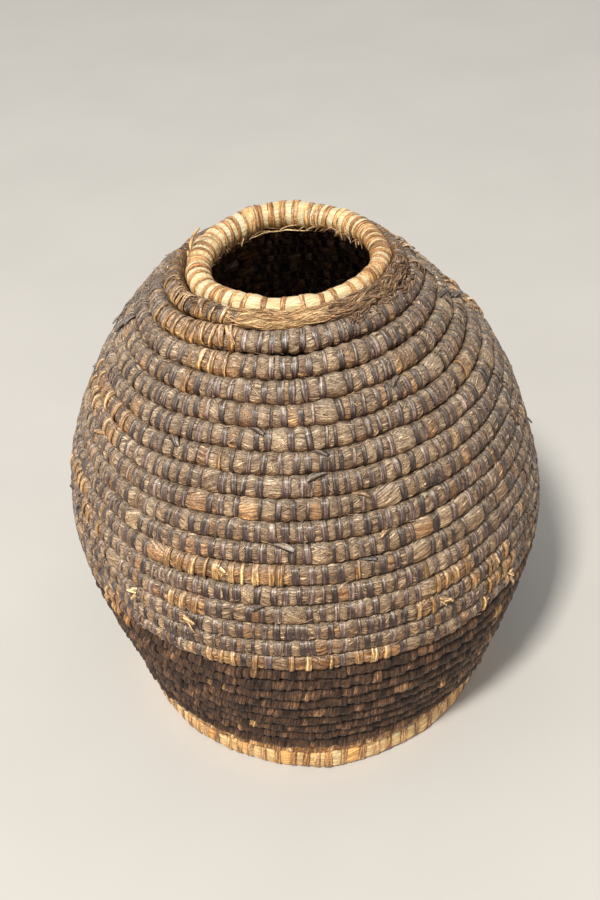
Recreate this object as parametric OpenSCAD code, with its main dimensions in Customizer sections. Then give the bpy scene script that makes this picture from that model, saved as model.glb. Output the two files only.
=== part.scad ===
// Coiled basket jar: a wide, round grass basket with a narrow mouth and a ring foot.
// Bundles of grass lie in courses, each wrapped with bark strips that bite into its
// neighbours and so sew the courses together. The mouth and the foot are thick straw
// rings. The floor is a flat disc of the same wrapped coils.
// Origin: centre of the surface the foot stands on. +Z is up, -Y is the front.

/* [Foot] */
// Radius of the foot ring, to the middle of its bundle
foot_r = 116; // [114:1:120]
// Thickness of the foot ring's straw bundle
foot_d = 21; // [18:1:23]
// How deep the bundle is worn flat where it stands
foot_worn = 1; // [0.5:0.25:2]
// Radius of the thin coil laid on the foot ring
ledge_r = 124.5; // [122:0.5:126]
// Thickness of the thin coil laid on the foot ring
ledge_d = 10; // [8:0.5:10.5]

/* [Wall] */
// Radius of the lowest wall course, to the middle of its bundle
start_r = 129; // [126:0.5:130]
// Thickness of the nine fine lower courses, with their wraps
fine_d = 11.8; // [10:0.2:13]
// Thickness of the lowest full-size course
belly_d = 12.4; // [11:0.2:14]
// Thickness of the top course
neck_d = 13.2; // [12:0.2:15]
// Angle of each step from one course to the next, 90 being straight up: at the foot
lean_foot = 106; // [98:1:110]
// The same angle where the fine courses end
lean_low = 99; // [94:1:104]
// The same angle at the belly
lean_belly = 76; // [70:1:82]
// The same angle on the shoulder
lean_shoulder = 60; // [54:1:64]
// The same angle at the neck
lean_neck = 43; // [36:1:50]
// How much the top course rises toward the front, in degrees
neck_tilt = 3.3; // [0:0.1:3.6]

/* [Rim] */
// Thickness of the straw ring around the mouth
rim_d = 16; // [14:0.5:20]
// Angle at which the rim sits on the top course
rim_seat = 18; // [5:1:25]

/* [Strips] */
// Thickness of a binding strip
strip_t = 0.9; // [0.6:0.1:1.2]
// How far a strip bites into the grass of the next course
bite = 0.3; // [0.1:0.1:0.4]
// Width of a bark strip on the wall
strip_w = 4.8; // [3:0.2:6]
// Spacing of the strips that are built on the wall: every third of the real ones
strip_step = 25; // [8:1:30]
// Spacing of the strips that are built on the fine courses, where they lie closer
fine_step = 22; // [7:1:30]
// Spacing of the strips on the rim and the foot
ring_step = 9; // [7.5:0.5:14]
// Spacing of the strips that are built on the floor disc
floor_step = 40; // [8:1:60]
// Width of a strip on the rim and the foot
ring_strip_w = 4; // [3:0.2:5]

/* [Hidden] */
$fn = 48;
FINE = 9;       // fine lower courses
MAIN = 17;      // full-size courses above them
COURSES = FINE + MAIN;
LEVEL = 14;     // courses above this one tilt, more and more up to the neck
FLOOR = 11;     // coils in the floor disc
SWELL = 5;      // up to this course the wall swells out at one angle
SHOULDER = 20;  // course at the middle of the shoulder
RING_FN = 180;  // facets around a ring in the preview
STRIP_FN = 360; // the same for the arc of a strip

grass = "#8c6d47";
bark = "#4b3f3b";
straw = "#e6cf95";
tan_strip = "#b07c4c";

// thickness of a course with its wraps
function course_d(i) = i <= FINE ? fine_d
    : belly_d + (neck_d - belly_d) * (i - FINE - 1) / (MAIN - 1);

// angle of the step that leads up from course i
function lean(i) = lookup(i, [[1, lean_foot + 1], [SWELL, lean_foot], [FINE, lean_low],
    [LEVEL, lean_belly], [SHOULDER, lean_shoulder], [COURSES, lean_neck]]);

function step_up(i) = (course_d(i) + course_d(i + 1)) / 2;

// height of the lowest course: it rests on the thin coil, which rests on the foot
foot_z = foot_d / 2 - foot_worn;
function rise(dist, across) = sqrt(pow(dist, 2) - pow(across, 2));
ledge_z = foot_z + rise((foot_d + ledge_d) / 2, ledge_r - foot_r);
start_z = ledge_z + rise((ledge_d + fine_d) / 2, start_r - ledge_r);

// middle of each course's bundle, [radius, height], every one laid on the one below
COURSE = [for (i = 1, r = start_r, z = start_z; i <= COURSES;
    r = r - step_up(i) * cos(lean(i + 0.5)), z = z + step_up(i) * sin(lean(i + 0.5)),
    i = i + 1) [r, z]];
function course_r(i) = COURSE[i - 1][0];
function course_z(i) = COURSE[i - 1][1];
function tilt(i) = neck_tilt * max(0, i - LEVEL) / (COURSES - LEVEL);

seat = (rim_d + neck_d) / 2;
rim_r = course_r(COURSES) - seat * cos(rim_seat);
rim_z = course_z(COURSES) + seat * sin(rim_seat);

// the floor's coils fill the disc inside the lowest course
floor_d = start_r / (FLOOR + 0.5);

function two_digits(i) = str(i < 10 ? "0" : "", i);

// a round bundle bent into a ring; d is its thickness with the strips around it
module bundle(r, d) {
    rotate_extrude($fn = RING_FN) translate([r, 0]) circle(d = core_d(d));
}

// the bare bundle is thinner than its course by the strips, less their bite
function core_d(d) = d - 2 * (strip_t - bite);

// strips wound around a ring bundle, each a closed band that hugs it
module wraps(r, d, step, w) {
    count = round(2 * PI * r / step);
    for (k = [0:count - 1])
        rotate([0, 0, 360 * k / count])
            rotate_extrude(angle = w / r * 180 / PI, $fn = STRIP_FN)
                translate([r, 0]) difference() {
                    circle(d = core_d(d) + 2 * strip_t);
                    circle(d = core_d(d));
                }
}

// wall courses, each at its own height and tilt
module at_course(i) {
    translate([0, 0, course_z(i)]) rotate([-tilt(i), 0, 0]) children();
}

module course(i) {
    color(grass) at_course(i) bundle(course_r(i), course_d(i));
}

module course_wraps(i) {
    step = i <= FINE ? fine_step : strip_step;
    color(bark) at_course(i) wraps(course_r(i), course_d(i), step, strip_w);
}

// cuts away all that would reach below the standing surface
module worn_flat() {
    difference() {
        translate([0, 0, foot_z]) children();
        translate([0, 0, -foot_d]) cylinder(r = foot_r + foot_d, h = foot_d, $fn = RING_FN);
    }
}

module foot_bundle() {
    color(straw) worn_flat() bundle(foot_r, foot_d);
}

module foot_wraps() {
    color(tan_strip) worn_flat() wraps(foot_r, foot_d, ring_step, ring_strip_w);
}

module ledge_coil() {
    color(straw) translate([0, 0, ledge_z]) bundle(ledge_r, ledge_d);
}

module ledge_wraps() {
    color(tan_strip) translate([0, 0, ledge_z]) wraps(ledge_r, ledge_d, strip_step, strip_w);
}

module floor_coils() {
    color(grass) translate([0, 0, start_z])
        for (k = [1:FLOOR]) bundle(start_r - k * floor_d, floor_d);
}

module floor_wraps() {
    color(bark) translate([0, 0, start_z])
        for (k = [1:FLOOR - 1]) wraps(start_r - k * floor_d, floor_d, floor_step, strip_w);
}

module rim_bundle() {
    color(straw) translate([0, 0, rim_z]) bundle(rim_r, rim_d);
}

module rim_wraps() {
    color(tan_strip) translate([0, 0, rim_z]) wraps(rim_r, rim_d, ring_step, ring_strip_w);
}

foot_bundle();
foot_wraps();
ledge_coil();
ledge_wraps();
floor_coils();
floor_wraps();
for (i = [1:COURSES]) {
    course(i);
    course_wraps(i);
}
rim_bundle();
rim_wraps();
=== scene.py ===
import math
from collections import namedtuple

import bpy
import numpy as np
from mathutils import Matrix, Vector


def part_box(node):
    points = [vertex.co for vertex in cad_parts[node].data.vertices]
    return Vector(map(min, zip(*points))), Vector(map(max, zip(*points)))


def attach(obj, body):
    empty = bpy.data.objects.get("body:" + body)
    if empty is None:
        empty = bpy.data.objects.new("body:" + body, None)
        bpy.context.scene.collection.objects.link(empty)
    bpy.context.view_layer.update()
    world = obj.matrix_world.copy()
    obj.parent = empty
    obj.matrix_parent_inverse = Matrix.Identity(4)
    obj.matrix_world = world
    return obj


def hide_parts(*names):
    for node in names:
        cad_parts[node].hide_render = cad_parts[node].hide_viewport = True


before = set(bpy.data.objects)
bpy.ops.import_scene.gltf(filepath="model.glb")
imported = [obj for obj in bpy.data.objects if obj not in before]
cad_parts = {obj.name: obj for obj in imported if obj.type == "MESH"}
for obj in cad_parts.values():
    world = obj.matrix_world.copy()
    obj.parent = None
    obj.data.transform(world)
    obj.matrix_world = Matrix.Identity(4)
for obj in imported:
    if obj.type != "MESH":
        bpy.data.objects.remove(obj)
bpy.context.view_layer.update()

# A coiled basket jar. Every course is a bundle of grass stems bent into a ring and wound with
# bark strips. Angles around the jar are "turns": 0 at the front (-Y), positive toward +X.
# Angles around a bundle are "rolls": 0 outward, 90 degrees up. Both are in radians, and in
# degrees in the tables.

MM = 0.001
TAU = 2 * math.pi
COURSES = 26
FINE = 9                          # fine, closely wrapped courses at the bottom
LEVEL = 14                        # courses above this one tilt, more and more up to the neck
NECK_TILT = math.radians(3.3)
FOOT_CUT = 0.4 * MM               # how deep the foot bundle is cut flat
FLOOR_COILS = 11
LEDGE_STRIP = 0.9 * MM            # thickness of the strips around the ledge,
WALL_STRIP = 0.75 * MM            # of those around the full-size courses and the floor's coils,
FINE_STRIP = 1.2 * MM             # of those around the fine courses
RIM_STRIP = 0.7 * MM              # and of those around the rim and the foot
SETTLED = 60 * MM                 # below this height the wall strays less and less
THINNEST = 0.6                    # the turn at which the rim and the top course are thinnest
PINCH_REACH = 3 * MM              # how far from its middle a strip pinches its bundle in,
SWELL_REACH = 5 * MM              # and how far it keeps the bundle from swelling
RIM_FRONT = math.radians(42)      # within this turn the rim's strips are narrow and far apart
BARE = (-27, 66)                  # between these turns the top course has no strips

# axis: the roll along which the ring's bundle leans on its neighbours; square: how far it is
# pressed square there; slim: how much thinner it is at the front right than at the back left
Ring = namedtuple("Ring", "r rho z tilt axis square slim", defaults=(math.pi / 2, 0.14, 0.0))
# arrays with an entry per strip; tint: 0 for old and 1 for fresh tan bark; slant: how far the
# strip drifts along its bundle; lift: how far it stands off; tag: a number of its own
Strips = namedtuple("Strips", "turn width tint shade slant lift tag")


# ---------------------------------------------------------------- places in the frame

def ring_of(node, tilt=0.0):
    """The ring that a course's CAD bundle makes: its box gives the radius, the thickness and
    the height, less what the tilt adds to the box."""
    low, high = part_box(node)
    outer = (high[0] - low[0]) / 2
    half_z = (high[2] - low[2]) / 2
    rho = (half_z - outer * math.sin(tilt)) / (1 - math.sin(tilt))
    return Ring(outer - rho, rho, (low[2] + high[2]) / 2, tilt)


def foot_ring():
    """The foot's ring: its box is cut off at the standing surface."""
    low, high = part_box("foot_bundle")
    rho = (high[2] + FOOT_CUT) / 2
    return Ring((high[0] - low[0]) / 2 - rho, rho, high[2] - rho, 0.0)


def course_tilt(i):
    return NECK_TILT * max(0, i - LEVEL) / (COURSES - LEVEL)


def dip_to(ring, below):
    """The roll at which the ring meets its lower neighbour."""
    return math.atan2(below.z - ring.z, below.r - ring.r)


def wall_rings():
    """The ring of each wall course, squared to the way the wall runs there, and of the ledge."""
    rings = {0: ring_of("ledge_coil")}
    for i in range(1, COURSES + 1):
        ring = ring_of(f"course_{i:02d}", course_tilt(i))
        ring = ring._replace(axis=dip_to(ring, rings[i - 1]), slim=0.28 if i == COURSES else 0.0)
        rings[i] = ring._replace(square=0.0) if i <= FINE else ring
    return rings


# how many waves around the jar, their phase, how far height shifts them, and their size: of the
# wall outward and up in mm, of a single coil up in mm, and of a coil's thickness as a share
OUT_WAVES = ((2, 0.7, 6, 1.3), (3, 2.2, -9, 0.9), (7, 0, 30, 0.35))
UP_WAVES = ((2, -1.1, 4, 0.9), (5, 0, 12, 0.5))
COIL_WAVES = ((13, 0, 1700, 0.3),)
THICKNESS_WAVES = ((9, 0, 900, 0.035), (23, 0, 2100, 0.025))
# the same for the way stems wander around their bundle, shifted by a seed, in stems
STEM_WAVES = ((9, 0, 1, 0.5), (23, 0, 2, 0.35))
# how far the wall leans out to the right, in to the left and in at the front: height in mm, mm
LEAN_RIGHT = ((0, 2.5), (45, 3.0), (89, 4.4), (123, 5.2), (150, 3.4), (185, 1.6), (221, 3.0),
              (256, 2.6), (277, -1.2), (298, -4.2), (316, -3.2), (322, 1.2))
LEAN_LEFT = ((0, 0.8), (60, 1.8), (200, 1.8), (240, 2.8), (300, 2.8), (310, 3.4), (322, 5.8))
LEAN_FRONT = ((287, 0), (298, 1.4), (307, 4.6), (322, 3.8))


def waves(table, turn, shift):
    """The sum of a table's waves."""
    return sum(size * np.sin(number * turn + phase + by * shift)
               for number, phase, by, size in table)


def lean(table, z):
    return np.interp(z / MM, *zip(*table))


def hand(turn, z):
    """How far the hand-made wall strays outward and up, shared by neighbouring courses."""
    right = np.sin(turn)
    out = waves(OUT_WAVES, turn, z)
    out = out + right * np.where(right > 0, lean(LEAN_RIGHT, z), lean(LEAN_LEFT, z))
    out = out - np.cos(turn).clip(0, 1) ** 2 * lean(LEAN_FRONT, z)
    fade = np.clip(z / SETTLED, 0, 1)
    return (out * fade + foot_strays(turn, z)) * MM, waves(UP_WAVES, turn, z) * MM * fade


def foot_strays(turn, z):
    """In mm: the foot stands a little forward and square, and its ends meet at the front."""
    low = np.clip(1 - z / (45 * MM), 0, 1)
    lowest = np.clip(2 - z / (12 * MM), 0, 1)
    seam = np.exp(-((turn - 0.05) / 0.16) ** 2)
    return (5.5 * np.cos(turn) + 1.2 * np.cos(4 * turn)) * low + 1.6 * seam * lowest


def place(ring, turn, roll, rad):
    """Points on or around a ring's bundle, at a distance rad from the bundle's middle.

    A bundle is thicker and thinner along its way, and packed square against its neighbours.
    Where it is thin it sinks a little."""
    out, up = hand(turn, ring.z)
    up = up + waves(COIL_WAVES, turn, ring.z) * MM * min(1, ring.z / SETTLED)
    thin = ring.slim * (0.5 + 0.5 * np.cos(turn - THINNEST))
    square = ring.square * np.sin(2 * (roll - ring.axis)) ** 2
    rad = rad * (1 + waves(THICKNESS_WAVES, turn, ring.z) + square - thin)
    r = ring.r + out + rad * np.cos(roll)
    x = r * np.sin(turn)
    y = -r * np.cos(turn)
    z = rad * np.sin(roll) + up - 0.3 * thin * ring.rho
    cos_t, sin_t = math.cos(ring.tilt), math.sin(ring.tilt)
    return np.stack([x, y * cos_t + z * sin_t, ring.z - y * sin_t + z * cos_t], -1)


def worn_flat(points, floor):
    """Presses what would lie below the floor into a thin layer on it, keeping its order."""
    z = points[..., 2]
    points[..., 2] = np.maximum(z, floor + 0.12 * MM + 0.05 * (z - floor))


# any unrelated numbers do: a sine of the keys times these, enlarged, looks random
SCATTER = (12.9898, 78.233, 37.719, 4.581)


def chance(*keys):
    """A repeatable number from 0 to 1 for each set of up to four keys."""
    total = sum(np.asarray(key, float) * by for key, by in zip(keys, SCATTER))
    return np.modf(np.abs(np.sin(total) * 43758.5453))[0]


# ---------------------------------------------------------------- mesh building

class Mesh:
    """Gathers grids of points into one mesh, with a value of each attribute per point."""

    def __init__(self):
        self.points, self.faces, self.values, self.count = [], [], {}, 0

    def add(self, points, faces, lay, **values):
        """Adds grids of points. A value with fewer numbers is spread over the grids.

        lay is how far along its stem or strip a point is, how far across, and a number of the
        stem or strip itself; the materials' grain follows it."""
        grid = points.shape[:-1]
        count = math.prod(grid)
        values = {key: np.broadcast_to(value, grid) for key, value in values.items()}
        values["lay"] = np.stack([np.broadcast_to(part, grid) for part in lay], -1)
        self.points.append(points.reshape(count, 3))
        self.faces.append(faces + self.count)
        for key, value in values.items():
            self.values.setdefault(key, []).append(value.reshape(count, -1))
        self.count += count

    def build(self, name, material, slot, nodes=()):
        points = np.concatenate(self.points).astype(np.float32)
        faces = np.concatenate(self.faces).astype(np.int32)
        mesh = bpy.data.meshes.new(name)
        mesh.vertices.add(len(points))
        mesh.vertices.foreach_set("co", points.ravel())
        mesh.loops.add(faces.size)
        mesh.loops.foreach_set("vertex_index", faces.ravel())
        mesh.polygons.add(len(faces))
        mesh.polygons.foreach_set("loop_start", np.arange(0, faces.size, 4, dtype=np.int32))
        mesh.polygons.foreach_set("use_smooth", np.ones(len(faces), bool))
        mesh.update(calc_edges=True)
        for key, parts in self.values.items():
            data = np.concatenate(parts).astype(np.float32)
            wide = data.shape[1] == 3
            layer = mesh.attributes.new(key, "FLOAT_VECTOR" if wide else "FLOAT", "POINT")
            layer.data.foreach_set("vector" if wide else "value", data.ravel())
        mesh.materials.append(material)
        piece = bpy.data.objects.new(name, mesh)
        bpy.context.scene.collection.objects.link(piece)
        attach(piece, "root")
        if nodes:
            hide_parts(*nodes)


def tube_faces(rows, cols, closed, count=1):
    """Quads of count tubes, each of rows loops of cols points, and bent into a ring if closed."""
    i = np.arange(rows if closed else rows - 1)[:, None]
    j = np.arange(cols)[None, :]
    i2, j2 = (i + 1) % rows, (j + 1) % cols
    quad = [i * cols + j, i * cols + j2, i2 * cols + j2, i2 * cols + j]
    one = np.stack(np.broadcast_arrays(*quad), -1).reshape(-1, 4)
    return (one[None] + (np.arange(count) * rows * cols)[:, None, None]).reshape(-1, 4)


def rolls(fine, coarse, start=-120, end=140):
    """Rolls around a bundle, close together on the outside and further apart on the inside."""
    outside = np.linspace(start, end, fine, endpoint=False)
    inside = np.linspace(end, start + 360, coarse, endpoint=False)
    return np.radians(np.concatenate([outside, inside]))


# ---------------------------------------------------------------- strips

def lay_strips(ring, step, width, seed, rough=0.22, gaps=0.05, doubles=0.12, slant=1.2, thin=0.0):
    """Strips around a ring by hand: uneven steps, now and then one missing or two together.

    The step is a number, or a function of the turn. gaps, doubles and thin are the shares of
    strips that are missing, double and narrow; slant is in mm."""
    rng = np.random.default_rng(seed)
    turns, at = [], rng.uniform(0, 8 * MM / ring.r) - math.pi
    while at < math.pi:
        turns.append(at)
        pick = rng.random()
        hop = 0.72 if pick < doubles else 1.0
        if pick > 1 - gaps:
            hop = rng.uniform(1.5, 2.2)
        here = step(at) if callable(step) else step
        at += here * hop * rng.uniform(1 - rough, 1 + rough) / ring.r
    turn = np.array(turns)
    n = len(turn)
    wide = np.where(rng.random(n) < thin, rng.uniform(0.4, 0.65, n), rng.uniform(0.8, 1.2, n))
    return Strips(turn, width * wide, np.zeros(n), rng.random(n), MM * rng.normal(slant, 1.1, n),
                  MM * rng.uniform(-0.15, 0.2, n), rng.integers(0, 9999, n))


# fresh tan strips: lowest and highest course, start and end turn, share of the strips there
TAN_PATCHES = [
    (25, 25, -68, -24, 0.75), (24, 24, -42, -24, 0.8), (23, 23, -40, -34, 1.0),
    (19, 20, -88, -56, 0.55), (15, 15, -78, -68, 0.9), (14, 14, -68, -58, 0.9),
    (15, 15, -35, -5, 1.0), (13, 13, -34, -24, 1.0), (10, 10, -26, 26, 0.8),
    (12, 13, 20, 38, 0.55), (10, 12, 40, 54, 0.6), (9, 10, -62, -50, 0.7),
    (20, 22, 96, 128, 0.5), (13, 14, 150, 176, 0.6), (17, 17, -150, -128, 0.7),
]


def tint_patches(strips, course, rng):
    """Turns some dark strips into fresh tan ones, which are narrower and lie higher."""
    tint = strips.tint.copy()
    deg = np.degrees(strips.turn)
    for low, high, start, end, share in TAN_PATCHES:
        if low <= course <= high:
            inside = (deg > start) & (deg < end)
            tint[inside & (rng.random(len(tint)) < share)] = 1.0
    stray = rng.random(len(tint)) < (0.004 if course <= FINE else 0.03)
    tint[stray] = rng.uniform(0.4, 1.0, stray.sum())
    tan = tint > 0.9
    return strips._replace(tint=tint, width=np.where(tan, 0.95 * strips.width, strips.width),
                           lift=strips.lift + np.where(tan, 0.8 * MM, 0))


def all_tan(strips):
    return strips._replace(tint=np.ones(len(strips.turn)))


def only(strips, mask):
    return Strips(*(value[mask] for value in strips))


# the places across a strip's width, and its height there: flat, or one edge under its neighbour
ACROSS = np.array([-1.0, -0.94, -0.74, -0.36, 0.0, 0.36, 0.74, 0.94, 1.0])
FLAT = (-0.5, 0.6, 0.9, 1.0, 0.97, 1.0, 0.9, 0.6, -0.5)
SHINGLE = (-0.9, -0.3, 0.2, 0.55, 0.8, 1.0, 1.0, 0.7, -0.6)


def add_strips(mesh, ring, strips, thick, dip_roll=None, around=21, floor=None, profile=FLAT,
               sink=0.5 * MM, crease=0.35, taper=0.35, dip_by=1.0 * MM, edge=1.0, groove=12,
               uneven=0.5 * MM):
    """Closed bands that hug the bundle, creased along their length, with thin ragged edges.

    Where a band dips into its lower neighbour, at dip_roll, it is twisted narrower by taper and
    stands out by dip_by. Each band sits higher or lower than the next, by up to uneven. The
    attribute edge is how dark a band is at its edges, and in the grooves of the wall."""
    roll = rolls(around - 6, 6)[:, None]
    strips = Strips(*(value[:, None, None] for value in strips))
    tag = strips.tag
    toward = 0 * roll if dip_roll is None else np.cos(roll - dip_roll)
    near = toward.clip(0, 1)
    ragged = 1 + 0.09 * np.sin(2 * roll + tag) + 0.08 * np.sin(5 * roll + 2.3 * tag)
    across = ACROSS * strips.width / 2 * ragged * (1 - taper * near ** 3)
    half_turns = roll / math.pi
    drift = strips.slant * np.where(half_turns > 1, 2 - half_turns, half_turns)
    turn = strips.turn + (drift + across) / (ring.r + ring.rho * np.cos(roll))
    # one edge of a strip often stands a little higher than the other
    tipped = 0.35 * MM * (chance(tag, 3.0) - 0.5) * ACROSS
    ridge = crease * (chance(tag, np.arange(len(ACROSS)), 5.0) - 0.5)
    high = np.array(profile) + ridge * (1 + 0.5 * np.sin(3 * roll + tag))
    rad = ring.rho + strips.lift - sink + dip_by * near ** 10
    points = place(ring, turn, roll, rad + thick * high + tipped)
    points[..., 2] += uneven * (chance(tag, 7.0) - 0.5)
    if floor is not None:
        worn_flat(points, floor)
    # edge: painted shade, with some dirt, at a strip's edges, and painted shade in the groove below
    mesh.add(points, tube_faces(len(roll), len(ACROSS), True, len(tag)),
             (roll * ring.rho / MM, across / MM, 1.7 * tag), tint=strips.tint, shade=strips.shade,
             edge=np.maximum(edge * np.abs(ACROSS) ** 3, np.abs(toward) ** groove))


# ---------------------------------------------------------------- bundles

def between_strips(turn, strips, ring):
    """For each turn: the number of the stretch between two strips it lies in, how far the
    nearer strip's middle is, and how far the middle of the stretch is."""
    middles = np.sort(strips.turn)
    padded = np.concatenate([[middles[-1] - TAU], middles, [middles[0] + TAU]])
    after = np.searchsorted(padded, turn).clip(1, len(padded) - 1)
    low, high = padded[after - 1], padded[after]
    gap = np.minimum(turn - low, high - turn)
    off = turn - (low + high) / 2
    return after % len(middles), gap * ring.r, off * ring.r


def stem_layer(ring, turn, roll, segment, off, stem, shear, seed):
    """One layer of stems: how high each point stands, its stem's number, its place across the
    stems, and how round its stem is there."""
    stems = max(8, round(TAU * ring.rho / stem))
    slope = shear * (2 * chance(segment, seed, 1.0) - 1)
    start = 7 * chance(segment, seed, 2.0)
    cell = roll / TAU * stems + slope * off / MM + start + waves(STEM_WAVES, turn, seed)
    index = np.floor(cell) % stems
    part = cell - np.floor(cell)
    ridge = np.sqrt(1 - 0.92 * (2 * part - 1) ** 2)
    return ridge + 0.9 * (chance(index, segment, seed) - 0.5), index, cell * stem / MM, ridge


def add_bundle(mesh, ring, strips, stem, seed, fine=58, coarse=10, step=1.6 * MM,
               pinch_by=0.6 * MM, floor=None, shear=0.34, warm=0.13, ridge_by=0.42, dark=1.0,
               aged=None, seat=0.0):
    """A bundle of stems bent into a ring: ridged by its stems and pinched in by each strip.

    Between two strips the stems run at their own angle; the change is hidden under the strips.
    Thinner stems cross over the main ones. Stretches beside a fresh strip are redder, and a
    share warm of the others. A function of the turn, aged, says how much darker the stems are
    there. The bundle presses into its neighbours above and below by seat, so that no light
    comes through."""
    count = max(24, int(TAU * ring.r / step))
    turn = np.linspace(-math.pi, math.pi, count, endpoint=False)[:, None]
    roll = rolls(fine, coarse)[None, :]
    segment, gap, off = between_strips(turn, strips, ring)
    main = stem_layer(ring, turn, roll, segment, off, stem, shear, seed)
    over = stem_layer(ring, turn, roll, segment, off, 0.75 * stem, 2.2 * shear, seed + 50)
    on_top = over[0] > main[0] + 0.15
    high, index, across, ridge = (np.where(on_top, b, a) for a, b in zip(main, over))
    touching = np.abs(np.cos(roll - ring.axis))
    pinch = np.exp(-(gap / PINCH_REACH) ** 4)
    swell = 1 - np.exp(-(gap / SWELL_REACH) ** 2)
    bulge = (0.05 + 0.2 * chance(segment, seed, 8.0)) * MM * swell
    rad = ring.rho + 0.1 * MM - pinch_by * pinch + bulge
    rad = rad + stem * ridge_by * (high - 0.7) * (1 - 0.4 * pinch)
    rad = rad + seat * touching ** 10
    points = place(ring, turn, roll, rad)
    if floor is not None:
        worn_flat(points, floor)
    tone = 0.66 * chance(index, segment, seed + 5.0) + 0.34 * chance(segment, seed, 9.0)
    # depth is painted shade: between the stems and beside the strips
    depth = dark * (np.clip(1.1 - ridge, 0, 1) + 0.6 * np.clip(0.9 - high, 0, 1) + 0.35 * pinch)
    # and painted shade in the grooves where the bundle meets its neighbours
    depth = depth + 0.45 * dark * touching ** 12
    if aged:
        depth = depth + aged(turn)
    # the strip before a stretch has the stretch's number less two
    fresh = strips.tint[(segment - 2) % len(strips.tint)] > 0.9
    redder = fresh | (chance(segment, seed, 4.0) < warm)
    mesh.add(points, tube_faces(count, fine + coarse, True),
             (turn * ring.r / MM, across, index * 3.1 + segment * 5.3), tone=tone,
             depth=np.clip(depth, 0, 1),
             warm=np.where(redder, 1.0, 0.4 * chance(segment, seed, 6.0)))


# ---------------------------------------------------------------- loose ribbons and fibres

def unit(v):
    return v / np.linalg.norm(v, axis=-1, keepdims=True)


def tangents(path):
    """Unit tangents of many paths, shape (paths, points, 3)."""
    return unit(np.gradient(path, axis=1))


def length_along(path):
    """How long each path is up to each of its points, in mm."""
    return np.cumsum(np.linalg.norm(np.diff(path, axis=1, prepend=path[:, :1]), axis=2), 1) / MM


def add_ribbons(mesh, path, normal, width, thick, tint, shade, tag):
    """Flat ribbons along many paths; width is given per point, and normal is their face's."""
    side = unit(np.cross(tangents(path), normal))
    up = unit(np.cross(side, tangents(path)))
    across = np.array([-1.0, -0.5, 0.5, 1.0, 0.5, -0.5])
    height = np.array([0.0, 0.5, 0.5, 0.0, -0.5, -0.5])
    half = (width / 2)[..., None, None]
    points = path[:, :, None] + side[:, :, None] * across[:, None] * half
    points = points + up[:, :, None] * height[:, None] * thick
    mesh.add(points, tube_faces(path.shape[1], len(across), False, len(path)),
             (length_along(path)[..., None], across * half[..., 0] / MM, 1.7 * tag[:, None, None]),
             tint=tint[:, None, None], shade=shade[:, None, None], edge=0.0)


def add_fibres(mesh, path, thick, tone, depth=0.2):
    """Thin round stems along many paths, tapering to their ends."""
    tangent = tangents(path)
    side = unit(np.cross(tangent, np.array([0.31, 0.17, 0.93])))
    up = np.cross(side, tangent)
    ends = np.sin(np.linspace(0.12, math.pi - 0.12, path.shape[1])) ** 0.4
    angles = np.arange(4) * TAU / 4
    rad = (thick[:, None] / 2 * ends)[..., None, None]
    points = path[:, :, None] + rad * (np.cos(angles)[:, None] * side[:, :, None]
                                       + np.sin(angles)[:, None] * up[:, :, None])
    # depth is an even painted shade along the stems
    mesh.add(points, tube_faces(path.shape[1], len(angles), False, len(path)),
             (length_along(path)[..., None], angles, 40 * tone[:, None, None]),
             tone=tone[:, None, None], depth=depth, warm=0.3)


def on_ring(ring, turn, roll, lift):
    """Paths laid on a ring's bundle, and the outward direction there."""
    path = place(ring, turn, roll, ring.rho + lift)
    return path, unit(path - place(ring, turn, roll, 0 * lift))


def column(rng, low, high, count):
    """A random number for each of count paths."""
    return rng.uniform(low, high, count)[:, None]


def cross_stems(mesh, ring, strips, rng, each=4):
    """Stems that lie aslant in each stretch between two strips."""
    start = np.repeat(strips.turn, each)[:, None]
    length = np.repeat(np.diff(strips.turn, append=strips.turn[0] + TAU), each)[:, None]
    count = len(start)
    inset = 1.6 * MM / ring.r
    steps = np.linspace(0, 1, 6)
    turn = start + inset + (length - 2 * inset).clip(inset) * steps
    across = rng.normal(0, 0.35, count)[:, None] * length * ring.r / ring.rho
    roll = np.radians(column(rng, -62, 118, count)) + across * (steps - 0.5)
    lift = MM * (column(rng, -0.25, 0.1, count) + 0.3 * np.sin(steps * math.pi))
    path, _ = on_ring(ring, turn, roll, lift)
    add_fibres(mesh, path, rng.uniform(0.5, 1.0, count) * MM, 0.75 * rng.random(count), 0.3)


# ---------------------------------------------------------------- materials

# colours by tone for grass and by shade for strips, from dark to light
GRASS_STOPS = [(0.0, (0.14, 0.075, 0.036)), (0.35, (0.36, 0.235, 0.135)),
               (0.65, (0.60, 0.435, 0.27)), (1.0, (0.87, 0.71, 0.49))]
# near-black grass of the fine courses: painted shade where it shows between their strips
DARK_GRASS_STOPS = [(0.0, (0.03, 0.016, 0.009)), (0.5, (0.07, 0.038, 0.02)),
                    (1.0, (0.14, 0.075, 0.036))]
OLD_GRASS_STOPS = [(0.0, (0.08, 0.042, 0.021)), (0.4, (0.20, 0.112, 0.056)),
                   (0.75, (0.36, 0.215, 0.11)), (1.0, (0.60, 0.40, 0.22))]
GOLD_STOPS = [(0.0, (0.20, 0.098, 0.038)), (0.35, (0.42, 0.245, 0.103)),
              (0.7, (0.67, 0.45, 0.21)), (1.0, (0.92, 0.72, 0.42))]
STRAW_STOPS = [(0.0, (0.84, 0.61, 0.30)), (0.3, (0.93, 0.74, 0.41)),
               (0.6, (0.96, 0.82, 0.51)), (1.0, (0.97, 0.89, 0.64))]
WORN_STRAW_STOPS = [(0.0, (0.66, 0.39, 0.15)), (0.35, (0.84, 0.57, 0.25)),
                    (0.65, (0.92, 0.69, 0.34)), (1.0, (0.96, 0.79, 0.46))]
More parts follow.
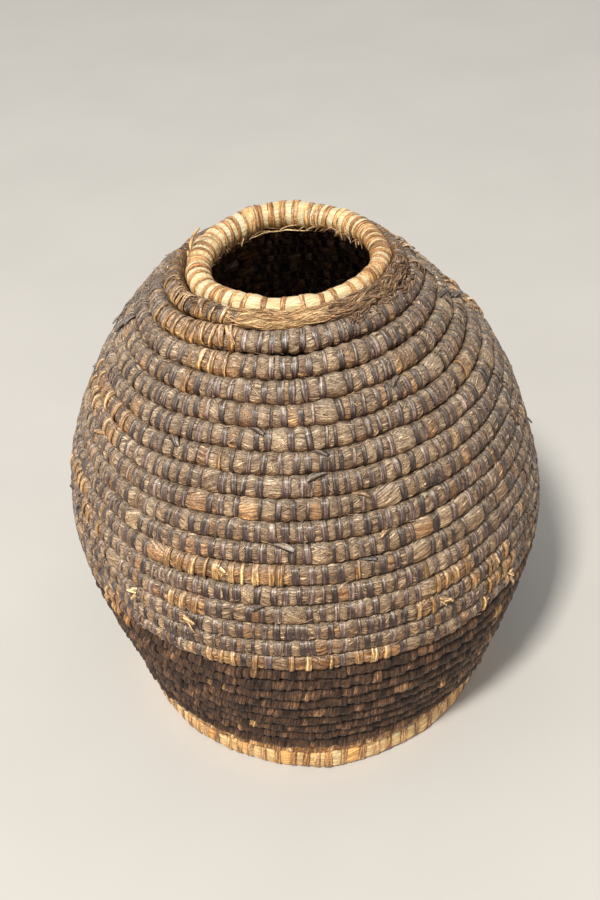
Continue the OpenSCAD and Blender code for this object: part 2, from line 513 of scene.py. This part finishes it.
BARK_STOPS = [(0.0, (0.034, 0.015, 0.012)), (0.45, (0.088, 0.047, 0.039)),
              (0.8, (0.155, 0.094, 0.076)), (1.0, (0.28, 0.19, 0.145))]
LOW_BARK_STOPS = [(0.0, (0.032, 0.015, 0.008)), (0.5, (0.115, 0.059, 0.030)),
                  (0.8, (0.22, 0.114, 0.056)), (1.0, (0.42, 0.23, 0.105))]
TAN_STOPS = [(0.0, (0.40, 0.20, 0.062)), (0.5, (0.60, 0.34, 0.12)), (1.0, (0.80, 0.51, 0.22))]
RIM_STRIP_STOPS = [(0.0, (0.36, 0.165, 0.055)), (0.5, (0.54, 0.285, 0.105)),
                   (1.0, (0.72, 0.44, 0.20))]
DUST = (0.56, 0.485, 0.38)
# dust, and a painted reflection of the sky, on the strips' upward faces
BARK_DUST_AND_SKY_REFLECTION = (0.47, 0.41, 0.33)
# painted shade between stems, beside strips and in the wall's grooves, mixed in by depth
STEM_SHADOW = (0.060, 0.031, 0.015)

# what colours are multiplied by: redder stretches of grass, painted shade and some dirt at the
# edges of strips, painted shade in the grooves, and, by a noise, the streaks of stems and of
# bark, the splits of bark, and dirt
WARM = (1.08, 0.80, 0.56)
GAP = (0.3, 0.26, 0.24)
# painted shade in the fine courses' grooves
FINE_GAP = (0.06, 0.04, 0.035)
STEM_STREAKS = [(0.40, (0.12, 0.075, 0.05)), (0.475, (0.78, 0.74, 0.70)),
                (0.55, (1.10, 1.09, 1.07)), (0.65, (1.9, 1.87, 1.78))]
BARK_STREAKS = [(0.38, GAP), (0.5, (0.9, 0.88, 0.87)), (0.64, (1.8, 1.77, 1.74))]
BARK_SPLITS = [(0.42, (1, 1, 1)), (0.5, (0.3, 0.26, 0.25)), (0.58, (1, 1, 1))]
SPECKS = [(0.36, (0.55, 0.52, 0.5)), (0.5, (1.0, 1.0, 1.0)), (0.64, (1.35, 1.33, 1.3))]


class Nodes:
    """A material's node tree, with short calls for what the materials here share."""

    def __init__(self, name):
        self.material = bpy.data.materials.new(name)
        self.material.use_nodes = True
        self.tree = self.material.node_tree
        self.shader = self.tree.nodes["Principled BSDF"]

    def node(self, kind, **settings):
        made = self.tree.nodes.new("ShaderNode" + kind)
        for key, value in settings.items():
            setattr(made, key, value)
        return made

    def feed(self, value, socket):
        """Sets a socket to a constant, or links it to another node's output."""
        if isinstance(value, (int, float, tuple)):
            socket.default_value = value
        else:
            self.tree.links.new(value, socket)

    def attribute(self, name, output="Fac"):
        return self.node("Attribute", attribute_name=name).outputs[output]

    def math(self, operation, a, b):
        made = self.node("Math", operation=operation)
        for socket, value in zip(made.inputs, (a, b)):
            self.feed(value, socket)
        return made.outputs[0]

    def noise(self, stretch, detail=3.0, roughness=0.55):
        """Noise laid along the stems or strips: stretch is its scale along, across, between."""
        scaled = self.node("VectorMath", operation="MULTIPLY")
        self.feed(self.attribute("lay", "Vector"), scaled.inputs[0])
        self.feed(stretch, scaled.inputs[1])
        made = self.node("TexNoise")
        self.feed(1.0, made.inputs["Scale"])
        self.feed(detail, made.inputs["Detail"])
        self.feed(roughness, made.inputs["Roughness"])
        self.feed(scaled.outputs[0], made.inputs["Vector"])
        return made.outputs["Fac"]

    def ramp(self, factor, *stops):
        made = self.node("ValToRGB")
        ramp = made.color_ramp
        for at, _ in stops[2:]:
            ramp.elements.new(at)
        for element, (at, colour) in zip(ramp.elements, sorted(stops)):
            element.position = at
            element.color = (*colour, 1)
        self.feed(factor, made.inputs[0])
        return made.outputs[0]

    def mix(self, factor, a, b, blend="MIX"):
        """Mixes two colours; 6 and 7 are the Mix node's colour inputs, 2 its colour output."""
        made = self.node("Mix", data_type="RGBA", blend_type=blend)
        for socket, value in ((made.inputs[0], factor), (made.inputs[6], a), (made.inputs[7], b)):
            if isinstance(value, tuple) and len(value) == 3:
                value = (*value, 1)
            self.feed(value, socket)
        return made.outputs[2]

    def times(self, share, colour, by):
        """Multiplies a colour, in full where share is 1."""
        return self.mix(share, colour, by, "MULTIPLY")

    def dirty(self, share, colour):
        """Small light and dark flecks, the same size every way."""
        return self.times(share, colour, self.ramp(self.noise((0.8, 0.8, 1.0), 3.0, 0.65), *SPECKS))

    def facing_up(self, start, end):
        """0 to 1 as the surface turns from start to end, by its normal's height."""
        split = self.node("SeparateXYZ")
        self.feed(self.node("NewGeometry").outputs["Normal"], split.inputs[0])
        spread = self.node("MapRange")
        self.feed(split.outputs["Z"], spread.inputs["Value"])
        self.feed(start, spread.inputs["From Min"])
        self.feed(end, spread.inputs["From Max"])
        return spread.outputs[0]

    def dusty(self, colour, dust, share, start, patches, least):
        """A colour where the surface faces up, in patches of a noise: dust on the grass, and on the
        bark dust with a painted reflection of the sky.
        """
        where = self.math("MULTIPLY", self.facing_up(start, 0.95), share)
        where = self.math("MULTIPLY", where, self.math("ADD", patches, least))
        return self.mix(where, colour, dust)

    def bump(self, height, strength, distance):
        made = self.node("Bump")
        self.feed(strength, made.inputs["Strength"])
        self.feed(distance, made.inputs["Distance"])
        self.feed(height, made.inputs["Height"])
        self.feed(made.outputs[0], self.shader.inputs["Normal"])

    def sheen(self, gloss, grain):
        """A roughness that is lower by gloss on the lighter grain."""
        return self.math("SUBTRACT", 1.0 - gloss / 2, self.math("MULTIPLY", grain, gloss / 2))

    def finish(self, colour, roughness, specular=0.4):
        self.feed(colour, self.shader.inputs["Base Color"])
        self.feed(roughness, self.shader.inputs["Roughness"])
        self.feed(specular, self.shader.inputs["Specular IOR Level"])
        return self.material


def grass_material(name, stops, dust_share, gloss, dirt=1.0):
    """Dry stems: each its own tone, with painted shade between them, dusty where they face up."""
    nodes = Nodes(name)
    mottle = nodes.noise((0.09, 0.35, 1.0))
    tone = nodes.math("ADD", nodes.attribute("tone"), nodes.math("MULTIPLY", mottle, 0.7))
    colour = nodes.ramp(nodes.math("SUBTRACT", tone, 0.35), *stops)
    # the underside of a bundle is redder and darker, by its normal
    below = nodes.math("MULTIPLY", nodes.facing_up(0.15, -0.6), 0.8)
    colour = nodes.times(nodes.math("MAXIMUM", nodes.attribute("warm"), below), colour, WARM)
    if dust_share:
        colour = nodes.dusty(colour, DUST, dust_share, 0.2, mottle, 0.2)
    fibre = nodes.noise((0.12, 0.95, 1.0), 4.0, 0.7)
    colour = nodes.times(0.35 + 0.65 * dirt, colour, nodes.ramp(fibre, *STEM_STREAKS))
    colour = nodes.dirty(dirt, colour)
    # painted shade by the attribute depth; depth also darkens the old stems of the top course
    colour = nodes.mix(nodes.math("MULTIPLY", nodes.attribute("depth"), 0.85), colour, STEM_SHADOW)
    nodes.bump(fibre, 0.8, 0.6 * MM)
    return nodes.finish(colour, nodes.sheen(gloss, fibre))


def strip_material(name, dark_stops, gloss, tan_stops=TAN_STOPS, dust_share=0.0, splits=0.8,
                   edge=0.75, gap=GAP, specular=0.5):
    """Split bark: dark or fresh by its tint, lighter or darker by its shade, grained along."""
    nodes = Nodes(name)
    grain = nodes.noise((0.08, 0.95, 1.0), 4.0, 0.7)
    blotch = nodes.noise((0.16, 0.25, 1.0), 2.0, 0.5)
    shade = nodes.math("ADD", nodes.attribute("shade"), nodes.math("MULTIPLY", blotch, 0.8))
    shade = nodes.math("SUBTRACT", shade, 0.4)
    colour = nodes.mix(nodes.attribute("tint"), nodes.ramp(shade, *dark_stops),
                       nodes.ramp(shade, *tan_stops))
    if dust_share:
        # dust and a painted sky reflection where the strips face up
        colour = nodes.dusty(colour, BARK_DUST_AND_SKY_REFLECTION, dust_share, 0.15, blotch, 0.3)
    colour = nodes.times(1.0, colour, nodes.ramp(grain, *BARK_STREAKS))
    split = nodes.ramp(nodes.noise((0.05, 0.75, 1.0), 2.0, 0.5), *BARK_SPLITS)
    colour = nodes.times(splits, colour, split)
    colour = nodes.dirty(1.0, colour)
    # painted shade, with some dirt, at the strips' edges and in the wall's grooves
    colour = nodes.times(nodes.math("MULTIPLY", nodes.attribute("edge"), edge), colour, gap)
    nodes.bump(grain, 0.8, 0.5 * MM)
    return nodes.finish(colour, nodes.sheen(gloss, grain), specular)


def floor_material():
    colour = (0.55, 0.528, 0.49)
    nodes = Nodes("pale_floor")
    speck = nodes.node("TexNoise")
    nodes.feed(90.0, speck.inputs["Scale"])
    tint = nodes.ramp(speck.outputs["Fac"], (0.3, tuple(c * 0.96 for c in colour)), (0.7, colour))
    return nodes.finish(tint, 0.9, 0.2)


LOOKS = {
    "grass": grass_material("dry_grass", GRASS_STOPS, 0.9, 0.3),
    "dark_grass": grass_material("dark_grass", DARK_GRASS_STOPS, 0.0, 0.3),
    "old_grass": grass_material("old_grass", OLD_GRASS_STOPS, 0.25, 0.3),
    "gold": grass_material("golden_grass", GOLD_STOPS, 0.15, 0.45),
    "straw": grass_material("pale_straw", STRAW_STOPS, 0.0, 0.7, 0.15),
    "worn_straw": grass_material("worn_straw", WORN_STRAW_STOPS, 0.0, 0.6, 0.3),
    "bark": strip_material("bark", BARK_STOPS, 1.0, dust_share=0.6, specular=0.45),
    "low_bark": strip_material("low_bark", LOW_BARK_STOPS, 0.6, splits=0.5, edge=1.0,
                               gap=FINE_GAP, specular=0.3),
    "rim_strip": strip_material("rim_strip", RIM_STRIP_STOPS, 0.8, RIM_STRIP_STOPS, splits=0.4,
                                edge=0.45),
}


# ---------------------------------------------------------------- the jar

def aged(turn):
    """The top course is old and brown to the right of its front, and a little on its left."""
    return 0.42 * np.clip((turn - 0.2) / 0.35, 0, 1) + 0.2 * (turn < -0.6)


def fine_strips(i, ring):
    """Dark strips that overlap, with here and there one or two redder ones."""
    strips = lay_strips(ring, 5.2 * MM, 7.4 * MM, i, rough=0.28, gaps=0.0, doubles=0.05, slant=3.4)
    picked = chance(strips.tag, i) < 0.08
    picked = picked | (np.roll(picked, 1) & (chance(strips.tag, 5.0) < 0.4))
    shade = np.where(picked, 0.45 + 0.5 * strips.shade, 0.04 + 0.62 * strips.shade)
    return strips._replace(shade=shade, lift=3 * strips.lift - 0.2 * MM)


def build_course(i, grass, grass_look, bark, bark_look):
    """A wall course's grass and its bark strips, a piece each."""
    grass.build(f"grass_course_{i:02d}", LOOKS[grass_look], "grass_bundle", [f"course_{i:02d}"])
    bark.build(f"bark_wraps_{i:02d}", LOOKS[bark_look], "bark_strip", [f"wraps_{i:02d}"])


def fine_course(i, ring, dip_roll):
    strips = tint_patches(fine_strips(i, ring), i, np.random.default_rng(700 + i))
    grass, bark = Mesh(), Mesh()
    add_bundle(grass, ring, strips, 1.7 * MM, i, fine=40, step=3.4 * MM, seat=0.9 * MM)
    add_strips(bark, ring, strips, FINE_STRIP, dip_roll, profile=SHINGLE, crease=0.6,
               taper=0.5, dip_by=0.6 * MM, edge=0.3, groove=3, uneven=1.5 * MM)
    build_course(i, grass, "dark_grass", bark, "low_bark")


def full_course(i, ring, dip_roll):
    """A full-size course. The top one is nearly bare in front, and without redder stretches."""
    strips = lay_strips(ring, 8.0 * MM, 4.7 * MM, i, rough=0.25, gaps=0.06, doubles=0.2, thin=0.22)
    strips = tint_patches(strips, i, np.random.default_rng(700 + i))
    grass, bark = Mesh(), Mesh()
    if i == COURSES:
        deg = np.degrees(strips.turn)
        strips = only(strips, (deg < BARE[0]) | (deg > BARE[1]))
        dull = strips._replace(tint=0 * strips.tint)
        add_bundle(grass, ring, dull, 1.6 * MM, i, warm=0.0, aged=aged, seat=1.2 * MM)
    else:
        add_bundle(grass, ring, strips, 1.6 * MM, i, warm=0.16, seat=1.2 * MM)
    cross_stems(grass, ring, strips, np.random.default_rng(900 + i))
    add_strips(bark, ring, strips, WALL_STRIP, dip_roll)
    build_course(i, grass, "gold" if i == COURSES else "grass", bark, "bark")


def wall(rings):
    for i in range(1, COURSES + 1):
        make_course = fine_course if i <= FINE else full_course
        make_course(i, rings[i], dip_to(rings[i], rings[i - 1]))


def rim_step(turn):
    """The rim's strips lie furthest apart at the front, and closest on the right."""
    if abs(turn) < RIM_FRONT:
        return 10.5 * MM
    return (6.0 if 0 < turn < math.radians(110) else 7.4) * MM


def foot_step(turn):
    """The foot's strips lie further apart to the right of its front seam."""
    return (10.5 if math.radians(4) < turn < math.radians(75) else 8.0) * MM


def straw_ring(name, ring, step, width, seed, look, floor=None, slant=1.6, wider=1.0):
    """A thick ring of straw and the tan strips around it, wider ones away from the front."""
    strips = lay_strips(ring, step, width, seed, rough=0.25, gaps=0.0, doubles=0.1, slant=slant)
    straw, wraps = Mesh(), Mesh()
    add_bundle(straw, ring, strips, 2.6 * MM, seed, fine=66, coarse=24, pinch_by=0.4 * MM,
               floor=floor, shear=0.05, warm=0.06, ridge_by=0.12, dark=0.32)
    away = np.abs(strips.turn) > RIM_FRONT
    strips = all_tan(strips)._replace(width=strips.width * np.where(away, wider, 1.0))
    add_strips(wraps, ring, strips, thick=RIM_STRIP, around=36, floor=floor, sink=0.3 * MM)
    straw.build(name + "_straw", LOOKS[look], "straw_bundle", [name + "_bundle"])
    wraps.build(name + "_strips", LOOKS["rim_strip"], "tan_strip", [name + "_wraps"])


def ledge():
    """The thin tan coil between the foot ring and the wall."""
    ring = ring_of("ledge_coil")
    strips = all_tan(lay_strips(ring, 8.5 * MM, 6 * MM, 31, rough=0.25, gaps=0.02, slant=3.0))
    grass, bark = Mesh(), Mesh()
    add_bundle(grass, ring, strips, 1.8 * MM, 31, fine=40, step=3 * MM)
    add_strips(bark, ring, strips, thick=LEDGE_STRIP)
    grass.build("ledge_straw", LOOKS["gold"], "straw_bundle", ["ledge_coil"])
    bark.build("ledge_strips", LOOKS["rim_strip"], "tan_strip", ["ledge_wraps"])


def floor_disc(lowest):
    """The floor's coils, from the lowest course inward."""
    low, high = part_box("floor_coils")
    rho = (high[2] - low[2]) / 2
    z = (high[2] + low[2]) / 2
    pitch = lowest.r / (FLOOR_COILS + 0.5)
    grass, bark = Mesh(), Mesh()
    for k in range(1, FLOOR_COILS + 1):
        ring = Ring(lowest.r - k * pitch, rho, z, 0.0)
        strips = lay_strips(ring, 9 * MM, 4.8 * MM, 40 + k)
        add_bundle(grass, ring, strips, 1.9 * MM, 40 + k, fine=30, coarse=20, step=2.8 * MM)
        add_strips(bark, ring, strips, thick=WALL_STRIP, around=18)
    grass.build("floor_grass", LOOKS["grass"], "grass_bundle", ["floor_coils"])
    bark.build("floor_strips", LOOKS["bark"], "bark_strip", ["floor_wraps"])


# ---------------------------------------------------------------- what has come loose

# course and turn of the dark strip ends at the front
TAILS = [(21, -14), (19, 6), (18, 12), (16, 21), (20, 3), (16, -8), (15, 11), (13, -9), (10, 30),
         (20, -38), (22, 34)]
# course, turn and direction (-1 left, 1 right) of the cut pale ends
CUT_ENDS = [(12, 28, 1), (12, 46, -1), (10, 51, 1), (12, -29, 1), (12, -43, -1), (15, -20, 1),
            (14, 118, 1), (18, 200, -1)]
# course, number, and the least and most of: turn, length in mm, roll, thickness in mm, tone
GOLD_FRAY = [(26, 150, (-32, 12), (6, 18), (-25, 125), (0.5, 1.1), (0.1, 1.0))]
BROWN_FRAY = [(26, 240, (14, 84), (4, 12), (-30, 125), (0.7, 1.6), (0.0, 0.8)),
              (25, 90, (24, 84), (4, 9), (50, 120), (0.7, 1.4), (0.0, 0.8)),
              (26, 50, (-80, -36), (3, 8), (60, 125), (0.6, 1.2), (0.1, 0.9))]
BROWN_FRAY += [(i, 170, (-85, 75), (4, 12), (-88, -42), (0.6, 1.3), (0.1, 1.0))
               for i in range(23, 27)]
# course, least and most turn, and number of the slipped strips
STRAPS = [(26, -80, -22, 12), (25, -66, -24, 4), (25, 70, 120, 4)]
# turns around which stems have broken inside the mouth
MOUTH_SPOTS = [122, 138, 150, 171, 196, 214, 233, 258]


def strip_tails(rings):
    """Cut ends of bark strips that stick out of the grooves and lie on the course below."""
    rng = np.random.default_rng(11)
    around = [(i, deg) for i in range(11, 25) for deg in rng.uniform(60, 300, rng.integers(1, 4))]
    mesh = Mesh()
    steps = np.linspace(0, 1, 9)
    for i, deg in TAILS + around:
        along = rng.choice([-1, 1]) * rng.uniform(8, 13) * MM / rings[i].r
        turn = np.radians([[deg]]) + along * steps
        roll = np.radians(rng.uniform(96, 108) - rng.uniform(44, 66) * steps ** 1.2)
        lift = MM * (0.9 + rng.uniform(0.4, 1.8) * steps ** 1.5)
        path, normal = on_ring(rings[i], turn, roll[None], lift[None])
        width = rng.uniform(3.8, 5.6) * MM * (1 - 0.5 * steps ** 3)[None]
        tint = np.array([float(rng.random() < 0.1)])
        add_ribbons(mesh, path, normal, width, 0.9 * MM, tint, rng.uniform(0, 0.4, 1),
                    rng.integers(0, 999, 1))
    mesh.build("strip_tails", LOOKS["bark"], "bark_strip")


def cut_ends(rings):
    """Pale ends of fresh strips, three together, cut off and curled away from the wall."""
    rng = np.random.default_rng(15)
    mesh = Mesh()
    steps = np.linspace(0, 1, 7)
    count = 3
    for i, deg, way in CUT_ENDS:
        turn = np.radians(deg) + way * column(rng, -1, 9, count) * MM / rings[i].r * steps
        roll = np.radians(column(rng, 20, 55, count) + column(rng, -70, 25, count) * steps)
        lift = MM * (0.9 + column(rng, 0.6, 3.0, count) * steps ** 1.4)
        path, normal = on_ring(rings[i], turn, roll, lift)
        width = column(rng, 1.6, 3.4, count) * MM * (1 - 0.5 * steps ** 3)
        add_ribbons(mesh, path, normal, width, 0.5 * MM, np.ones(count),
                    rng.uniform(0.8, 1.3, count), rng.integers(0, 999, count))
    mesh.build("cut_ends", LOOKS["bark"], "tan_strip")


def loose_grass(rings):
    """Broken bits of stem that have sprung out of the bundles beside the grooves."""
    rng = np.random.default_rng(12)
    steps = np.linspace(0, 1, 6)
    count = 220
    for first in (10, 14, 18, 22):
        mesh = Mesh()
        for i in range(first, first + 4):
            start = column(rng, -math.pi, math.pi, count)
            long = column(rng, 3, 9, count) * MM
            turn = start + rng.choice([-1, 1], (count, 1)) * long / rings[i].r * steps
            base = np.where(rng.random(count) < 0.6, rng.uniform(-70, -40, count),
                            rng.uniform(70, 95, count))[:, None]
            roll = np.radians(base + rng.normal(0, 20, count)[:, None] * steps)
            spring = (rng.random(count) < 0.2)[:, None] * 1.5 * steps ** 2
            lift = MM * (column(rng, -0.2, 0.3, count) + spring)
            path, _ = on_ring(rings[i], turn, roll, lift)
            add_fibres(mesh, path, rng.uniform(0.35, 0.75, count) * MM, rng.random(count) * 0.8)
        mesh.build(f"loose_grass_{first:02d}", LOOKS["grass"], "grass_bundle")


def fray_over(mesh, ring, rng, count, start, long, roll, thick, tone):
    """Stems that have come loose over a stretch of a course, lying every way."""
    steps = np.linspace(0, 1, 9)
    turn = np.radians(column(rng, *start, count)) + column(rng, *long, count) * MM / ring.r * steps
    lie = column(rng, *roll, count) + rng.normal(0, 28, count)[:, None] * (steps - 0.5)
    lift = column(rng, -0.2, 0.9, count) + np.sin(steps * math.pi) * column(rng, 0, 0.9, count)
    path, _ = on_ring(ring, turn, np.radians(lie), MM * lift)
    add_fibres(mesh, path, rng.uniform(*thick, count) * MM, rng.uniform(*tone, count), 0.15)


def neck_fray(rings):
    """Golden stems spread over the top course in front, and old brown ones further right and
    in the grooves of the neck."""
    rng = np.random.default_rng(13)
    for name, look, rows in (("neck_fray", "gold", GOLD_FRAY),
                             ("neck_fray_brown", "old_grass", BROWN_FRAY)):
        mesh = Mesh()
        for i, *row in rows:
            fray_over(mesh, rings[i], rng, *row)
        mesh.build(name, LOOKS[look], "grass_bundle")


def neck_straps(rings):
    """Fresh strips that have slipped and hang loosely over the top courses, most on the left."""
    rng = np.random.default_rng(17)
    mesh = Mesh()
    steps = np.linspace(0, 1, 11)
    for i, start, end, count in STRAPS:
        turn = np.radians(column(rng, start, end, count) + column(rng, -3, 6, count) * steps)
        roll = np.radians(118 - column(rng, 100, 160, count) * steps)
        lift = MM * (0.7 + column(rng, 0.3, 1.6, count) * np.sin(steps * math.pi) ** 2)
        path, normal = on_ring(rings[i], turn, roll, lift)
        width = column(rng, 3.0, 4.8, count) * MM * (1 - 0.35 * steps ** 4)
        add_ribbons(mesh, path, normal, width, 0.5 * MM, rng.uniform(0.75, 1, count),
                    rng.uniform(0, 0.9, count), rng.integers(0, 999, count))
    mesh.build("neck_straps", LOOKS["bark"], "tan_strip")


def mouth_fray(rim):
    """Broken stems inside the mouth, under the back of the rim, and one long loose one."""
    rng = np.random.default_rng(14)
    mesh = Mesh()
    steps = np.linspace(0, 1, 9)
    count = 90
    spots = rng.choice(MOUTH_SPOTS, count) + rng.normal(0, 5, count)
    turn = np.radians(spots)[:, None] + rng.normal(0, 11, count)[:, None] * MM / rim.r * steps
    roll = np.radians(column(rng, 200, 240, count) + column(rng, 0, 30, count) * steps)
    lift = MM * (column(rng, -0.5, 0.6, count) + column(rng, 0.3, 3.5, count) * steps ** 1.6)
    path, _ = on_ring(rim, turn, roll, lift)
    add_fibres(mesh, path, rng.uniform(0.5, 1.4, count) * MM, rng.random(count), 0.25)
    turn, roll = np.radians(206 - 46 * steps), np.radians(226 + 8 * steps)
    path, _ = on_ring(rim, turn[None], roll[None], MM * (2 + 4 * steps * (1 - steps))[None])
    add_fibres(mesh, path, np.array([1.2 * MM]), np.array([0.9]), 0.0)
    mesh.build("mouth_fray", LOOKS["gold"], "straw_bundle")


def standing_end(rim):
    """The end of a rim strip that stands up on the left, split in two."""
    steps = np.linspace(0, 1, 9)
    turn = np.radians([[-99.0], [-94.0]]) + np.array([[-0.04], [0.02]]) * steps
    roll = np.radians(np.array([[48.0], [40.0]]) + np.array([[46.0], [20.0]]) * steps)
    lift = MM * (0.5 + np.array([[12.5], [4.0]]) * steps ** 1.2)
    path, _ = on_ring(rim, turn, roll, lift)
    mesh = Mesh()
    add_fibres(mesh, path, np.array([2.1, 1.8]) * MM, np.array([0.8, 0.9]), 0.0)
    mesh.build("loose_end", LOOKS["gold"], "tan_strip")


def hanging_ends(rim):
    """Ends of the rim's strips that hang into the mouth at the right of its back."""
    rng = np.random.default_rng(16)
    mesh = Mesh()
    steps = np.linspace(0, 1, 9)
    count = 7
    turn = np.radians(column(rng, 118, 150, count)) + rng.normal(0, 0.09, count)[:, None] * steps
    roll = np.radians(column(rng, 196, 214, count) + column(rng, 10, 40, count) * steps)
    lift = MM * (1.0 + column(rng, 1.0, 5.0, count) * steps ** 1.5)
    path, normal = on_ring(rim, turn, roll, lift)
    width = column(rng, 2.2, 4.2, count) * MM * (1 - 0.6 * steps ** 2)
    add_ribbons(mesh, path, normal, width, 0.6 * MM, rng.uniform(0, 0.7, count),
                rng.uniform(0.3, 1, count), np.arange(count))
    mesh.build("loose_ends", LOOKS["bark"], "bark_strip")


def jar():
    rings = wall_rings()
    rim = ring_of("rim_bundle")
    rim = rim._replace(square=0.0, slim=0.33, rho=1.12 * rim.rho)
    wall(rings)
    straw_ring("rim", rim, rim_step, 3.3 * MM, 21, "straw", wider=1.3)
    straw_ring("foot", foot_ring(), foot_step, 4.6 * MM, 22, "worn_straw", floor=0.0, slant=4.0)
    ledge()
    floor_disc(rings[1])
    strip_tails(rings)
    cut_ends(rings)
    loose_grass(rings)
    neck_fray(rings)
    neck_straps(rings)
    mouth_fray(rim)
    standing_end(rim)
    hanging_ends(rim)


# ---------------------------------------------------------------- stage, light and camera

def stage():
    """A plain pale floor."""
    side = 6.0
    mesh = bpy.data.meshes.new("floor")
    mesh.from_pydata([(-side, -side, 0), (side, -side, 0), (side, side, 0), (-side, side, 0)],
                     [], [(0, 1, 2, 3)])
    mesh.materials.append(floor_material())
    floor = bpy.data.objects.new("floor", mesh)
    bpy.context.scene.collection.objects.link(floor)


def area_light(name, at, target, size, power, colour):
    data = bpy.data.lights.new(name, "AREA")
    data.size = size
    data.energy = power
    data.color = colour
    light = bpy.data.objects.new(name, data)
    light.location = at
    light.rotation_euler = (Vector(target) - Vector(at)).to_track_quat("-Z", "Y").to_euler()
    bpy.context.scene.collection.objects.link(light)


def lights():
    """A high key in front, a little to the left, a weak fill from the left, and a pale world."""
    middle = (0, 0, 0.16)
    area_light("key", (-0.95, -2.04, 3.47), middle, 0.5, 186, (1.0, 0.965, 0.91))
    area_light("fill", (-1.7, -0.7, 0.9), middle, 1.6, 5, (0.92, 0.96, 1.0))
    world = bpy.data.worlds.new("pale")
    world.use_nodes = True
    background = world.node_tree.nodes["Background"]
    background.inputs["Color"].default_value = (0.97, 0.975, 0.975, 1)
    background.inputs["Strength"].default_value = 0.58
    bpy.context.scene.world = world
    bpy.context.scene.view_settings.view_transform = "Standard"


def camera():
    """A 50 mm lens in front of the jar, looking down at it, held a little askew."""
    pitch = math.radians(37.65)
    askew = math.radians(4.56)
    data = bpy.data.cameras.new("camera")
    data.sensor_fit = "VERTICAL"
    data.sensor_height = 36
    data.lens = 50
    cam = bpy.data.objects.new("camera", data)
    turn = Matrix.Rotation(math.pi / 2 - pitch, 4, "X") @ Matrix.Rotation(-askew, 4, "Z")
    cam.matrix_world = Matrix.Translation((0, -0.676, 0.6957)) @ turn
    bpy.context.scene.collection.objects.link(cam)
    bpy.context.scene.camera = cam


camera()
stage()
lights()
jar()
